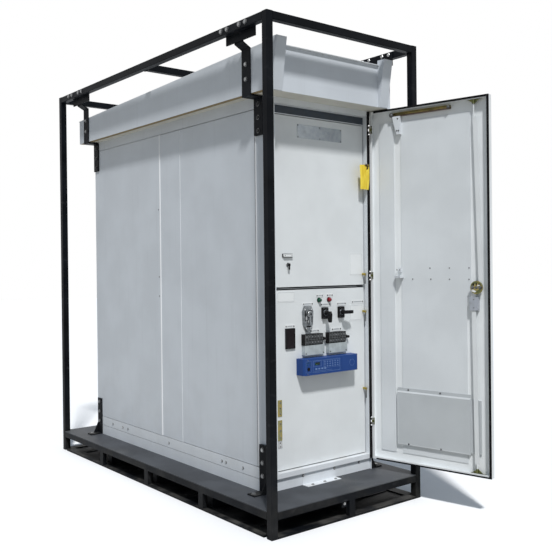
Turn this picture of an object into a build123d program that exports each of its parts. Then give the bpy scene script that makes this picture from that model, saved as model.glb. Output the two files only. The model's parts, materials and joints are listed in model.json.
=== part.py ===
from build123d import *
import math
import os

os.makedirs("parts", exist_ok=True)

# Cage and base skid, all sizes in mm
CAGE_W = 1294.0
CAGE_L = 2900.0
CAGE_H = 3048.0
TUBE = 48.0
TUBE_R = 5.0
DECK_TOP = 161.0
DECK_T = 6.0
SKID_RAIL_H = 44.0
STRIP_W = 75.0
STRIP_T = 12.0
RIB_PITCH = 710.0

# Enclosure
SIDE_L = -438.0
SIDE_R = 480.0
SHEET = 3.0
FRAME_Y = -1155.0
REAR_Y = 1189.0
SOFFIT_Z = 2638.0
SEAM_Z = 2565.0
PANEL_Z = 310.0
BAND_Z = 236.0
SEAM_Y = 116.0
STRIP_Y = -163.0
CORNER_Y = -1052.0
CORNER_INSET = 10.0
FRONT_INSET = 5.0
STRIP_INSET = 3.0
GAP = 3.0
FOLD = 12.0
POST = 40.0

# Door recess at the front
OPEN_L = -355.0
OPEN_R = 463.0
DOOR_PLANE = -1118.0
SKIRT_Y = -1140.0
HEAD_Z = 2600.0

# Roof hood
ROOF_L = -529.0
ROOF_R = 547.0
ROOF_FRONT = -1297.0
ROOF_REAR = 1294.0
ROOF_TOP_F = 2915.0
ROOF_TOP_R = 2830.0
CAP_TOP = 2950.0

# Inner doors
PIVOT_X = -345.0
PIVOT_Y = -1126.0
INNER_L = -336.0
INNER_R = 456.0
UPPER_Z = (1441.0, 2538.0)
LOWER_Z = (276.0, 1421.0)

# Outer door
HINGE_X = 484.0
HINGE_Y = -1165.0
DOOR_OPEN = 102.2
DOOR_Y = -1172.0
DOOR_T = 36.0
DOOR_S0 = -6.0
DOOR_S1 = 857.0
DOOR_Z0 = 234.0
DOOR_Z1 = 2633.0
DOOR_LIP = 18.0
SEAL_EDGE = 13.0
HINGE_SPANS = ((2482.0, 2535.0), (1479.0, 1527.0), (471.0, 518.0))
LATCH_S = 766.0
LATCH_Z = 1428.0
LATCH_ARM = 25.0
ROD_W = 28.0
ROD_IN = 8.0
ROD_OUT = 13.0
SHAFT_R = 8.0
TOP_GUIDE_S = 752.0
FOOT_GUIDE_S = 756.0

half_w = CAGE_W / 2
half_l = CAGE_L / 2
inner_l = SIDE_L + SHEET
inner_r = SIDE_R - SHEET
TURNS = {"x": Rot(0, 90, 0), "y": Rot(90, 0, 0), "z": Rot(0, 0, 0)}


def block(x0, x1, y0, y1, z0, z1):
    size = Box(abs(x1 - x0), abs(y1 - y0), abs(z1 - z0))
    return Pos((x0 + x1) / 2, (y0 + y1) / 2, (z0 + z1) / 2) * size


def pin(x, y, z, r, h, axis="z"):
    return Pos(x, y, z) * TURNS[axis] * Cylinder(r, h)


def peg(x, y, z, r, h, axis="z"):
    """A small round that repeats, drawn with sixteen sides."""
    bar = extrude(RegularPolygon(r, 16), h / 2, both=True)
    return Pos(x, y, z) * TURNS[axis] * bar


def bolt(x, y, z, size, h, axis="z"):
    head = extrude(RegularPolygon(size / 2, 6), h / 2, both=True)
    return Pos(x, y, z) * TURNS[axis] * head


def sweep_x(points, x0, x1):
    """Fills a side profile of (y, z) points from x0 to x1."""
    face = make_face(Plane.YZ * Polyline(*points, close=True))
    return Pos(x0, 0, 0) * extrude(face, x1 - x0, dir=(1, 0, 0))


def sweep_y(points, y0, y1):
    """Fills a front profile of (x, z) points from y0 to y1."""
    face = make_face(Plane.XZ * Polyline(*points, close=True))
    return Pos(0, y0, 0) * extrude(face, y1 - y0, dir=(0, 1, 0))


def tube(x0, x1, y0, y1, z0, z1):
    """A bar whose long edges are rounded, as on rolled square tube."""
    spans = (abs(x1 - x0), abs(y1 - y0), abs(z1 - z0))
    along = (Axis.X, Axis.Y, Axis.Z)[spans.index(max(spans))]
    bar = block(x0, x1, y0, y1, z0, z1)
    return fillet(bar.edges().filter_by(along), TUBE_R)


def save(name, *pieces):
    solids = [solid for piece in pieces for solid in piece.solids()]
    whole = Compound(children=solids) if len(solids) > 1 else solids[0]
    export_step(whole, f"parts/{name}.step")


# Cage of square tube
rail_z = CAGE_H - TUBE
posts = []
side_rails = []
cross_rails = [tube(TUBE - half_w, half_w - TUBE, -10, TUBE - 10, rail_z, CAGE_H)]
for sx in (-1, 1):
    x0, x1 = sx * (half_w - TUBE), sx * half_w
    side_rails.append(tube(x0, x1, TUBE - half_l, half_l - TUBE, rail_z, CAGE_H))
    for sy in (-1, 1):
        posts.append(tube(x0, x1, sy * (half_l - TUBE), sy * half_l, 0, CAGE_H))
for sy in (-1, 1):
    y0, y1 = sy * (half_l - TUBE), sy * half_l
    cross_rails.append(tube(TUBE - half_w, half_w - TUBE, y0, y1, rail_z, CAGE_H))
save("cage_posts", *posts)
save("cage_side_rails", *side_rails)
save("cage_cross_rails", *cross_rails)

# Base skid: rails under the deck, flat strips on the ground, ribs between them
skid_z1 = DECK_TOP - DECK_T
skid_z0 = skid_z1 - SKID_RAIL_H
rib_ys = (-RIB_PITCH, 0.0, RIB_PITCH)
skid = []
for sx in (-1, 1):
    x1 = sx * half_w
    skid.append(block(x1 - sx * TUBE, x1, TUBE - half_l, half_l - TUBE, skid_z0, skid_z1))
    skid.append(block(x1 - sx * STRIP_W, x1, STRIP_W - half_l, half_l - STRIP_W, 0, STRIP_T))
    for y in rib_ys:
        skid.append(block(x1 - sx * 30, x1, y - 25, y + 25, STRIP_T, skid_z0))
for sy in (-1, 1):
    y1 = sy * half_l
    skid.append(block(TUBE - half_w, half_w - TUBE, y1 - sy * TUBE, y1, skid_z0, skid_z1))
    skid.append(block(TUBE - half_w, half_w - TUBE, y1 - sy * STRIP_W, y1, 0, STRIP_T))
    skid.append(block(-25, 25, y1 - sy * 30, y1, STRIP_T, skid_z0))
save("skid_rails", *skid)

lug = block(-78, -34, -half_l + 12, -half_l + 20, 72, skid_z0)
lug -= pin(-56, -half_l + 16, 94, 7, 40, "y")
save("ground_lug", lug)

members = []
for y in rib_ys:
    members.append(block(STRIP_W - half_w, half_w - STRIP_W, y - 30, y + 30, 0, skid_z1))
save("skid_cross_members", *members)

deck = block(-half_w, half_w, -half_l, half_l, skid_z1, DECK_TOP)
for sx in (-1, 1):
    for sy in (-1, 1):
        corner = Pos(sx * (half_w - TUBE / 2), sy * (half_l - TUBE / 2), skid_z1)
        deck -= corner * Box(TUBE, TUBE, 40)
save("deck_plate", deck)

# Wall sheets, split at the seams that show outside
walls = [block(inner_l, inner_r, REAR_Y - SHEET, REAR_Y, DECK_TOP, SOFFIT_Z)]
corners = []
bands = []
panel_z0, panel_z1 = PANEL_Z + GAP, SEAM_Z - GAP


def folded(wall, sx, inset, y0, y1):
    """A side sheet set in from the wall line, its front edge folded inward."""
    face = wall - sx * inset
    sheet = block(face, face - sx * SHEET, y0, y1, panel_z0, panel_z1)
    return sheet + block(face, face - sx * FOLD, y0, y0 + SHEET, panel_z0, panel_z1)


for sx, wall in ((-1, SIDE_L), (1, SIDE_R)):
    skin = wall - sx * SHEET
    strip = wall - sx * CORNER_INSET
    corners.append(block(strip, strip - sx * SHEET, FRAME_Y + SHEET, CORNER_Y - GAP, panel_z0, panel_z1))
    walls.append(folded(wall, sx, FRONT_INSET, CORNER_Y, STRIP_Y - GAP))
    walls.append(folded(wall, sx, STRIP_INSET, STRIP_Y, SEAM_Y - GAP))
    walls.append(folded(wall, sx, 0, SEAM_Y, REAR_Y))
    walls.append(block(wall, skin, FRAME_Y, REAR_Y, SEAM_Z, SOFFIT_Z))
    bands.append(block(wall, skin, FRAME_Y, REAR_Y, BAND_Z + GAP, PANEL_Z))
    bands.append(block(wall, skin, FRAME_Y, REAR_Y, DECK_TOP, BAND_Z))
save("wall_panels", *walls)
save("corner_strips", *corners)
save("base_bands", *bands)

# Members that back the seams, and the plain partitions inside
members = []
rear_post = REAR_Y - SHEET - POST
post_l = SIDE_L + CORNER_INSET + FOLD
post_r = SIDE_R - CORNER_INSET - FOLD
for x0, x1 in ((post_l, post_l + POST), (post_r - POST, post_r)):
    for y0 in (rear_post, SEAM_Y - POST / 2):
        members.append(block(x0, x1, y0, y0 + POST, DECK_TOP + DECK_T, SOFFIT_Z))
    for y0, y1 in ((-1085, SEAM_Y - POST / 2), (SEAM_Y + POST / 2, rear_post)):
        for z, half in ((BAND_Z, 12), (PANEL_Z, 20), (SEAM_Z, 20)):
            members.append(block(x0, x1, y0, y1, z - half, z + half))
save("side_frame", *members)

mid_l, mid_r = post_l + POST, post_r - POST
floor = block(inner_l, inner_r, SKIRT_Y + SHEET, REAR_Y - SHEET, DECK_TOP, DECK_TOP + DECK_T)
barrier = block(mid_l, mid_r, SEAM_Y - 2, SEAM_Y + 2, DECK_TOP + DECK_T, SOFFIT_Z)
shelf = block(mid_l, mid_r, -1090, SEAM_Y - 2, 1428, 1432)
save("inner_partitions", floor, barrier, shelf)

# Front frame: jambs, head, header, sill and skirt
flange_z = BAND_Z + 2
left_jamb = block(inner_l, OPEN_L, FRAME_Y, FRAME_Y + SHEET, flange_z, SOFFIT_Z)
left_jamb += block(OPEN_L - SHEET, OPEN_L, FRAME_Y, DOOR_PLANE + 20, flange_z, SOFFIT_Z)
right_jamb = block(OPEN_R, inner_r, FRAME_Y, FRAME_Y + SHEET, flange_z, SOFFIT_Z)
right_jamb += block(OPEN_R, OPEN_R + SHEET, FRAME_Y, DOOR_PLANE + 20, flange_z, SOFFIT_Z)
head = block(OPEN_L, OPEN_R, FRAME_Y, FRAME_Y + SHEET, HEAD_Z, SOFFIT_Z)
head += block(OPEN_L, OPEN_R, FRAME_Y, DOOR_PLANE, HEAD_Z, HEAD_Z + SHEET)
header = block(OPEN_L, OPEN_R, DOOR_PLANE, DOOR_PLANE + SHEET, 2543, HEAD_Z + SHEET)
sill = block(OPEN_L, OPEN_R, FRAME_Y, DOOR_PLANE + 6, flange_z, 270)
skirt = block(inner_l, inner_r, SKIRT_Y, SKIRT_Y + SHEET, DECK_TOP, BAND_Z)
save("front_frame", left_jamb, right_jamb, head, header, sill, skirt)

strip_y = DOOR_PLANE - 2
save("header_strip", block(OPEN_L + 4, OPEN_R - 2, strip_y, DOOR_PLANE, 2549, 2597))

# The hinge side's seal, with its nose cut back where a hinge sits
seal_z0, seal_z1 = DOOR_Z0 + 6, DOOR_Z1
seal = block(OPEN_R, OPEN_R + 19, FRAME_Y - 12, FRAME_Y, seal_z0, seal_z1)
seal = fillet(seal.edges().filter_by(Axis.Z).group_by(Axis.Y)[0], 5)
for z0, z1 in HINGE_SPANS:
    seal -= block(OPEN_R - 1, OPEN_R + 20, FRAME_Y - 13, FRAME_Y - 6, z0 - 8, z1 + 8)
    seal -= block(OPEN_R + 9, OPEN_R + 20, FRAME_Y - 13, FRAME_Y + 1, z0 - 8, z1 + 8)
save("jamb_gasket", seal)

foot = block(-145, 146, SKIRT_Y - SHEET, SKIRT_Y, DECK_TOP + SHEET, flange_z - 3)
foot += block(-145, 146, SKIRT_Y - 60, SKIRT_Y, DECK_TOP, DECK_TOP + SHEET)
save("foot_angle", foot)

# Roof hood with its end caps
side = [
    (ROOF_FRONT, SOFFIT_Z),
    (ROOF_REAR, SOFFIT_Z),
    (ROOF_REAR, ROOF_TOP_R),
    (ROOF_FRONT, ROOF_TOP_F),
]
roof_l, roof_r = ROOF_L + SHEET, ROOF_R - SHEET
fascias = [sweep_x(side, ROOF_L, roof_l), sweep_x(side, roof_r, ROOF_R)]
front_z = ROOF_TOP_F - 0.2
fascias.append(block(roof_l, roof_r, ROOF_FRONT, ROOF_FRONT + SHEET, SOFFIT_Z, front_z))
fascias.append(block(roof_l, roof_r, ROOF_REAR - SHEET, ROOF_REAR, SOFFIT_Z, ROOF_TOP_R))
save("roof_fascias", *fascias)

soffit_y0, soffit_y1 = ROOF_FRONT + SHEET, ROOF_REAR - SHEET
save("soffit", block(roof_l, roof_r, soffit_y0, soffit_y1, SOFFIT_Z, SOFFIT_Z + SHEET))

caps = []
for x0, x1 in ((-500, -420), (426, 506)):
    cap = [
        (ROOF_FRONT, SOFFIT_Z),
        (ROOF_FRONT - 13, SOFFIT_Z),
        (ROOF_FRONT - 63, CAP_TOP),
        (ROOF_FRONT, CAP_TOP),
    ]
    caps.append(sweep_x(cap, x0, x1))
save("roof_end_caps", *caps)

fall = (ROOF_TOP_F - ROOF_TOP_R) / (ROOF_REAR - ROOF_FRONT)
lip = 14.0
front_edge = ROOF_TOP_F + fall * lip
rear_edge = ROOF_TOP_R - fall * lip
top = [
    (ROOF_FRONT - lip, front_edge),
    (ROOF_REAR + lip, rear_edge),
    (ROOF_REAR + lip, rear_edge + 4),
    (ROOF_FRONT - lip, front_edge + 4),
]
roof = sweep_x(top, ROOF_L, ROOF_R)
for cap in caps:
    roof -= cap
save("roof_sheet", roof)

# Hangers from the cage rails to the roof and walls
bolts = []
hangers = []
for sx, wall, hood in ((-1, SIDE_L, ROOF_L), (1, SIDE_R, ROOF_R)):
    rail = sx * (half_w - TUBE)
    plate_x = rail - sx * 8
    for centre, plate_c in ((-1102.0, -1131.0), (1155.0, 1114.0)):
        plate = block(rail, plate_x, plate_c - 148, plate_c + 148, 2948, 3042)
        profile = [
            (plate_x, 3000),
            (plate_x - sx * 8, 3000),
            (plate_x - sx * 8, 2946),
            (hood, 2916),
            (hood, 2630),
            (wall, 2630),
            (wall, 2394),
            (wall + sx * 8, 2394),
            (wall + sx * 8, 2622),
            (hood + sx * 8, 2622),
            (hood + sx * 8, 2912),
            (plate_x, 2940),
        ]
        hangers.append(plate)
        hangers.append(sweep_y(profile, centre - 42, centre + 42))
        for dy in (-116, -55, 69, 132):
            bolts.append(bolt(sx * (half_w + 4), plate_c + dy, 3026, 26, 8, "x"))
        for dy in (-21, 21):
            bolts.append(bolt(rail - sx * 20, centre + dy, 2972, 22, 8, "x"))
        for z in (2820, 2728):
            bolts.append(bolt(hood + sx * 12, centre, z, 24, 8, "x"))
        if centre < 0:
            hangers.append(block(wall, wall - sx * CORNER_INSET, centre - 42, centre + 42, 2394, panel_z1))
        for z in (2588, 2505, 2422):
            bolts.append(bolt(wall + sx * 12, centre, z, 24, 8, "x"))
save("roof_hangers", *hangers)

# Brackets that hold the enclosure down to the deck
brackets = []
for sx, wall in ((-1, SIDE_L), (1, SIDE_R)):
    for centre, edge in ((-1115.0, -1151.0), (1142.0, 1170.0)):
        bracket = block(wall, wall + sx * 8, centre - 36, centre + 36, DECK_TOP, 460)
        bracket += block(wall, wall + sx * 104, centre - 36, centre + 36, DECK_TOP, DECK_TOP + 8)
        rib = [(wall, DECK_TOP), (wall + sx * 52, DECK_TOP), (wall, DECK_TOP + 110)]
        bracket += sweep_y(rib, edge, edge + 8)
        brackets.append(bracket)
        if centre < 0:
            packer = wall - sx * CORNER_INSET
            brackets.append(block(wall, packer, centre - 36, centre + 36, panel_z0, 460))
        for z in (430, 349, 267):
            bolts.append(bolt(wall + sx * 12, centre + 2, z, 24, 8, "x"))
        bolts.append(bolt(wall + sx * 82, centre, DECK_TOP + 12, 26, 8))
save("base_brackets", *brackets)
save("bracket_bolts", *bolts)

small = []
for wall, sx in ((SIDE_L, -1), (SIDE_R, 1)):
    for y in (917, 742, 657, 23, -660, -706, -896):
        small.append(bolt(wall + sx * 2, y, 272, 14, 4, "x"))
for x in (-138, 138, 372):
    face = SKIRT_Y - SHEET if x < 146 else SKIRT_Y
    small.append(bolt(x, face - 2, 222, 14, 4, "y"))
for x in (-90, 15, 112):
    small.append(bolt(x, SKIRT_Y - 42, DECK_TOP + SHEET + 3, 16, 6))
save("panel_bolts", *small)


# Inner doors: shallow pans hung at the left jamb
def pan(z0, z1):
    y0 = DOOR_PLANE
    solid = block(INNER_L, INNER_R, y0, y0 + 20, z0, z1)
    return solid - block(INNER_L + SHEET, INNER_R - SHEET, y0 + SHEET, y0 + 21, z0 + SHEET, z1 - SHEET)


def knuckles(x, y, r, z0, z1):
    """A hinge barrel cut in three: the moving middle and the two fixed ends."""
    third = (z1 - z0) / 3
    middle = peg(x, y, (z0 + z1) / 2, r, third - 1)
    return middle, [peg(x, y, z0 + third / 2, r, third), peg(x, y, z1 - third / 2, r, third)]


def butt(z0, z1, reach):
    """The inner door's half of a butt hinge, and the jamb's half."""
    moving, fixed = knuckles(PIVOT_X, PIVOT_Y, 6, z0, z1)
    third = (z1 - z0) / 3
    low, high = z0 + third + 0.5, z1 - third - 0.5
    moving += block(PIVOT_X - 2, PIVOT_X + 3, PIVOT_Y, DOOR_PLANE, low, high)
    moving += block(PIVOT_X, INNER_L + 1, DOOR_PLANE - 3, DOOR_PLANE, low, high)
    moving += block(INNER_L + 1, reach, DOOR_PLANE - 3, DOOR_PLANE, z0, z1)
    for index, z in enumerate((z0 + third / 2, z1 - third / 2)):
        fixed[index] += block(OPEN_L, PIVOT_X, PIVOT_Y - 2, PIVOT_Y + 2, z - third / 2, z + third / 2)
    return moving, fixed


save("upper_inner_door", pan(*UPPER_Z))
save("lower_inner_door", pan(*LOWER_Z))
jamb_halves = []
for name, spans in (
    ("upper_door_hinges", ((1620, 1740, -331), (2300, 2420, -331))),
    ("lower_door_hinges", ((468, 597, -291), (621, 725, -291), (1180, 1290, -331))),
):
    door_halves = []
    for span in spans:
        half, fixed = butt(*span)
        door_halves.append(half)
        jamb_halves.extend(fixed)
    save(name, *door_halves)
save("inner_hinges_frame", *jamb_halves)

face = DOOR_PLANE


def plate(x0, x1, z0, z1, depth, base=face):
    """A fitting that stands off the inner doors' face by its depth."""
    return block(x0, x1, base - depth, base, z0, z1)


def knob(x, z, r, depth, base=face):
    return pin(x, base - depth / 2, z, r, depth, "y")


def thumb_latch(z):
    """A turned boss at the door's free edge with a flat lever hanging from it."""
    x = INNER_R - 10
    boss = peg(x, face - 12, z, 8, 24, "y") + peg(x, face - 15, z, 6, 30, "y")
    lever = Pos(x, face - 25, z - 31) * Rot(90, 0, 0) * extrude(SlotOverall(72, 11, rotation=90), 1.5, both=True)
    return boss + lever


save("blank_plate", plate(-139, 254, 2405, 2493, 2))
catch = plate(-268, -193, 1633, 1652, 4) + knob(-262, 1642, 9, 14)
lock = knob(-230, 1584, 10, 8) + knob(-230, 1584, 5, 14)
key = plate(-239, -221, 1553, 1591, 2, face - 14)
save("upper_door_fittings", catch, lock, key, thumb_latch(1513))
save("lower_thumbscrews", thumb_latch(1256), thumb_latch(722))
save("lower_edge_plate", plate(-323, -291, 420, 464, 3))

for name, x in (("green_lamp", 35), ("red_lamp", 124)):
    dome = peg(x, face - 12, 1348, 11, 24, "y")
    dome = chamfer(dome.faces().sort_by(Axis.Y)[0].edges(), 4)
    save(name, peg(x, face - 4.5, 1348, 15, 9, "y") + dome)

# Key interlock: a cast body that tapers to its foot, with a hexagonal boss
interlock = sweep_y(
    [(-73, 1138), (-36, 1192), (-31, 1276), (-48, 1314), (-98, 1314), (-115, 1276), (-110, 1192)],
    face - 20,
    face,
)
interlock = fillet(interlock.edges().filter_by(Axis.Y), 8)
interlock += bolt(-73, face - 26, 1262, 52, 12, "y")
interlock += knob(-73, 1262, 15, 44)
interlock += plate(-79, -67, 1190, 1262, 40)
save("lever_housing", interlock)

# Control switches with pistol grips
SWITCH_X = (80.0, 228.0)
SWITCH_Z = 1262.0
grip_side = [
    (-11, face - 44),
    (-11, face - 62),
    (8, face - 71),
    (62, face - 66),
    (62, face - 54),
    (22, face - 44),
]
bodies = []
for index, x in enumerate(SWITCH_X):
    body = plate(x - 24, x + 24, SWITCH_Z - 40, SWITCH_Z + 37, 20)
    bodies.append(fillet(body.edges().filter_by(Axis.Y), 6))
    outline = make_face(Plane.YZ * Polyline(*[(y, -reach) for reach, y in grip_side], close=True))
    grip = extrude(outline, 11, both=True)
    grip = fillet(grip.edges().group_by(Axis.Z)[0].filter_by(Axis.Y), 6)
    turn = 0 if index == 0 else -90
    grip = Pos(x, 0, SWITCH_Z) * Rot(0, turn, 0) * grip
    neck = knob(x, SWITCH_Z, 13, 25, face - 20)
    save(f"switch_handle_{index + 1}", neck + grip)
save("switch_bodies", *bodies)

save("small_window", plate(-256, -182, 1047, 1173, 8))
tests = []
covers = []
for x0, x1 in ((-121, 44), (92, 252)):
    tests.append(plate(x0, x1, 1060, 1131, 30))
    tests.append(knob(x1 + 30, 1093, 9, 26))
    cover = plate(x0 + 3, x1 + 9, 995, 1058, 32)
    covers.append(cover - plate(x0 + 6, x1 + 6, 998, 1055, 27, face))
save("test_blocks", *tests)
save("test_block_covers", *covers)

relay = plate(-165, 322, 871, 977, 76)
relay = fillet(relay.edges().filter_by(Axis.Z).group_by(Axis.Y)[0], 18)
relay -= plate(166, 168, 870, 978, 3, face - 74)
save("relay_case", relay)


# Outer door, drawn shut: s runs from the hinge, w from its inner face outward
def opened(shape):
    swing = Pos(HINGE_X, HINGE_Y, 0) * Rot(0, 0, DOOR_OPEN) * Pos(-HINGE_X, -HINGE_Y, 0)
    return swing * shape


def dbox(s0, s1, w0, w1, z0, z1):
    return block(HINGE_X - s1, HINGE_X - s0, DOOR_Y - w1, DOOR_Y - w0, z0, z1)


def dpin(s, w, z, r, h, axis="y"):
    return pin(HINGE_X - s, DOOR_Y - w, z, r, h, axis)


def dpeg(s, w, z, r, h, axis="y"):
    return peg(HINGE_X - s, DOOR_Y - w, z, r, h, axis)


def dplate(points, w0, w1):
    """A plate with an outline of (s, z) points, lying along the door."""
    return sweep_y([(HINGE_X - s, z) for s, z in points], DOOR_Y - w1, DOOR_Y - w0)


def drod(top, foot, w0, w1):
    """A flat bar with round ends between two (s, z) places on the door."""
    run = Vector(foot[0] - top[0], top[1] - foot[1])
    lean = 90 - math.degrees(math.atan2(run.X, run.Y))
    bar = extrude(SlotCenterToCenter(run.length, ROD_W, rotation=lean), (w1 - w0) / 2, both=True)
    mid_s, mid_z = (top[0] + foot[0]) / 2, (top[1] + foot[1]) / 2
    return Pos(HINGE_X - mid_s, DOOR_Y - (w0 + w1) / 2, mid_z) * Rot(90, 0, 0) * bar


skin = DOOR_T - SHEET
leaf = dbox(DOOR_S0, DOOR_S1, 0, DOOR_T, DOOR_Z0, DOOR_Z1)
leaf -= dbox(DOOR_S0 + SHEET, DOOR_S1 - SHEET, SHEET, skin, DOOR_Z0 + SHEET, DOOR_Z1 - SHEET)
leaf -= dbox(DOOR_S0 + DOOR_LIP, DOOR_S1 - DOOR_LIP, -1, 4, DOOR_Z0 + DOOR_LIP, DOOR_Z1 - DOOR_LIP)
leaf -= dpin(LATCH_S, DOOR_T, LATCH_Z, SHAFT_R + 3, 40)
save("outer_door_leaf", opened(leaf))

seal = dbox(DOOR_S0 + 34, DOOR_S1, -8, 0, DOOR_Z0, DOOR_Z1)
seal -= dbox(DOOR_S0 + 33, DOOR_S1 - SEAL_EDGE, -9, 1, DOOR_Z0 + 8, DOOR_Z1 - 12)
save("outer_door_gasket", opened(seal))

hat = dbox(52, 167, 28, skin, 300, 2545)
panel = dbox(218, 719, 29, skin, 1372, 2545) + dbox(218, 689, 29, skin, 300, 1372)
save("door_inner_sheets", opened(hat), opened(panel))
# Raised cover with a sloped top, a flange above it and a step behind the rod
cover_side = [(29, 358), (16, 358), (16, 711), (26, 720), (26, 742), (29, 742)]
cover = sweep_x([(DOOR_Y - w, z) for w, z in cover_side], HINGE_X - 709, HINGE_X - 182)
cover += dbox(182, 190, 16, skin, 358, 711) + dbox(709, 780, 24, skin, 369, 711)
save("door_cover", opened(cover))

stay = dbox(148, 588, 8, skin, 2580, 2604) - dbox(147, 589, 7, skin - 3, 2583, 2601)
save("stay_channel", opened(stay))

arm = dplate([(170, 2579), (228, 2579), (228, 2456), (203, 2456), (184, 2520)], 4, 8)
arm += dbox(224, 228, 8, 29, 2456, 2579)
clip = dbox(198, 220, 20, 29, 1528, 1556)
shelf = [(0, 176), (0, 217), (4, 217), (4, 235), (53, 235), (29, 176)]
outline = make_face(Polyline(*[(HINGE_X - s, DOOR_Y - skin + out) for out, s in shelf], close=True))
ledge = Pos(0, 0, 1487) * extrude(outline, 14, dir=(0, 0, 1))
ledge -= Pos(0, 0, 1486) * extrude(offset(outline, -SHEET), 12, dir=(0, 0, 1))
save("door_brackets", opened(arm), opened(clip), opened(ledge))

# Three-point latch: a hub on the handle's shaft with a rod to the top and the bottom
rod_w = (ROD_IN + ROD_OUT) / 2
rose = dbox(LATCH_S - 46, LATCH_S + 46, DOOR_T, DOOR_T + 8, LATCH_Z - 55, LATCH_Z + 55)
rose -= dpin(LATCH_S, DOOR_T, LATCH_Z, SHAFT_R + 3, 40)
strap = dbox(718, 772, ROD_IN - 5, skin, 1283, 1369)
strap -= dbox(721, 769, ROD_IN - 2, skin + 1, 1282, 1370)
guides = [rose, strap]
for s, edge, up in ((TOP_GUIDE_S, DOOR_Z1, 1), (FOOT_GUIDE_S, DOOR_Z0, -1)):
    vee = [(-52, 9), (-16, 33), (0, 47), (18, 34), (48, 9)]
    guide = dplate([(s + ds, edge - up * dz) for ds, dz in vee], 14, 17)
    guide += dbox(s - 52, s + 48, 14, skin, edge - up * 13, edge - up * 9)
    guide += dpeg(s, rod_w, edge - up * 32, 9, 28, "z")
    guide -= dpeg(s, rod_w, edge - up * 32, 6, 60, "z")
    guides.append(guide)
save("latch_guides", *[opened(guide) for guide in guides])

hub = dpin(LATCH_S, 1, LATCH_Z, 42, 4) + dpin(LATCH_S, 34, LATCH_Z, SHAFT_R, 62)
for side in (-1, 1):
    hub += dpeg(LATCH_S + side * LATCH_ARM, -2.5, LATCH_Z, 8, 3)
save("latch_hub", opened(hub))
lever = dbox(LATCH_S - 14, LATCH_S + 14, DOOR_T + 12, DOOR_T + 24, LATCH_Z - 150, LATCH_Z + 20)
lever = fillet(lever.edges().filter_by(Axis.Y), 13)
lever -= dpin(LATCH_S, 40, LATCH_Z, SHAFT_R, 60)
save("latch_lever", opened(lever))

for name, end_s, s, end_z, tip_z, side in (
    ("upper_latch_rod", TOP_GUIDE_S + 8, TOP_GUIDE_S, 2495, 2597, 1),
    ("lower_latch_rod", FOOT_GUIDE_S, FOOT_GUIDE_S, 318, 269, -1),
):
    foot = (LATCH_S + side * LATCH_ARM, LATCH_Z)
    rod = drod((end_s, end_z), foot, ROD_IN, ROD_OUT)
    rod += dpeg(foot[0], ROD_IN - 2.5, LATCH_Z, 6, 5)
    rod += dpeg(s, rod_w, (end_z + tip_z) / 2, 4, abs(tip_z - end_z), "z")
    save(name, opened(rod))

# Outer hinges: a barrel in front of the jamb with a tongue on the door's lip
moving, fixed = [], []
for z0, z1 in HINGE_SPANS:
    middle, ends = knuckles(HINGE_X, HINGE_Y, 6, z0, z1)
    third = (z1 - z0) / 3
    middle += block(HINGE_X - 7, HINGE_X, DOOR_Y, DOOR_Y + 3, z0 + third + 0.5, z1 - third - 0.5)
    middle += block(HINGE_X - 13, HINGE_X - 7, DOOR_Y, DOOR_Y + 3, z0, z1)
    moving.append(opened(middle))
    for index, z in enumerate((z0 + third / 2, z1 - third / 2)):
        ends[index] += block(HINGE_X - 7, HINGE_X - 3, HINGE_Y, FRAME_Y, z - third / 2, z + third / 2)
    fixed.extend(ends)
save("outer_hinges_door", *moving)
save("outer_hinges_frame", *fixed)
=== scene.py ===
import json
import math

import bmesh
import bpy
from mathutils import Matrix, Vector


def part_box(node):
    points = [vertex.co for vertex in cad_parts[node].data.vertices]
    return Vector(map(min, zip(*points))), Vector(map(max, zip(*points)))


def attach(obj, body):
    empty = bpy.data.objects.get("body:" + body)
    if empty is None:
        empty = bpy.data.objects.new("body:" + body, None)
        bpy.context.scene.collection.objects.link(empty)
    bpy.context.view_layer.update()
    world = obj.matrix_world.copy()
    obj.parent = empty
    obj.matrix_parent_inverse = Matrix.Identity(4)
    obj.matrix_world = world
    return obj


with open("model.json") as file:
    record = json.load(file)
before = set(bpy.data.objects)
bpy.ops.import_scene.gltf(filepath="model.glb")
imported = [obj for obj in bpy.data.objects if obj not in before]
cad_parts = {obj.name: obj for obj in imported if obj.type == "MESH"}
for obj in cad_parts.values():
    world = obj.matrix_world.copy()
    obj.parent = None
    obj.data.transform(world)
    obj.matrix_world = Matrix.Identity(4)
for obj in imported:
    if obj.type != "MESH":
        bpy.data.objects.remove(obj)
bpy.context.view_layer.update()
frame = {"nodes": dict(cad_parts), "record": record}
nodes = frame["nodes"]
MM = 0.001

# Camera, solved from the cage's corners
IMAGE = 552
CAMERA_AT = Vector((-3.3862, -4.8824, 1.5899))
YAW, PITCH, ROLL = math.radians(38.15), math.radians(-0.353), math.radians(-0.607)
FOCAL_PX = 767.5
CENTRE_PX = (263.2, 268.8)
SENSOR = 36.0

# The outer door: its hinge line, how far it stands open, its inner face when shut, its depth
DOOR_OPEN = math.radians(102.2)
HINGE = Vector((0.484, -1.165, 0))
DOOR_Y = -1.172
DOOR_T = 0.036

# The inner doors' face, and where the lower door's fittings sit on it, in millimetres
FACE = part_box("lower_inner_door")[0].y
LAMPS_X, LAMP_Z, LAMP_R = (35, 124), 1348, 15
INTERLOCK_X, KEYWAY_Z, KEY_RING_Z = -73, 1262, 1210
SWITCHES_X, SWITCH_Z, SWITCH_OUT = (80, 228), 1262, 20
TEST_BLOCKS_X = ((-121, 44), (92, 252))
STUD_ROWS_Z, BLOCK_OUT, STUDS = (1077, 1113), 30, 6
RELAY_OUT = 76

# The upper door's catch, lock and tag, in millimetres
CATCH_X, CATCH_Z = (-271, -196), (1635, 1651)
LOCK_X, LOCK_Z = -230, 1584
HOOK_X, HOOK_Z, TAG_OUT = 448, 2254, 48

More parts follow.
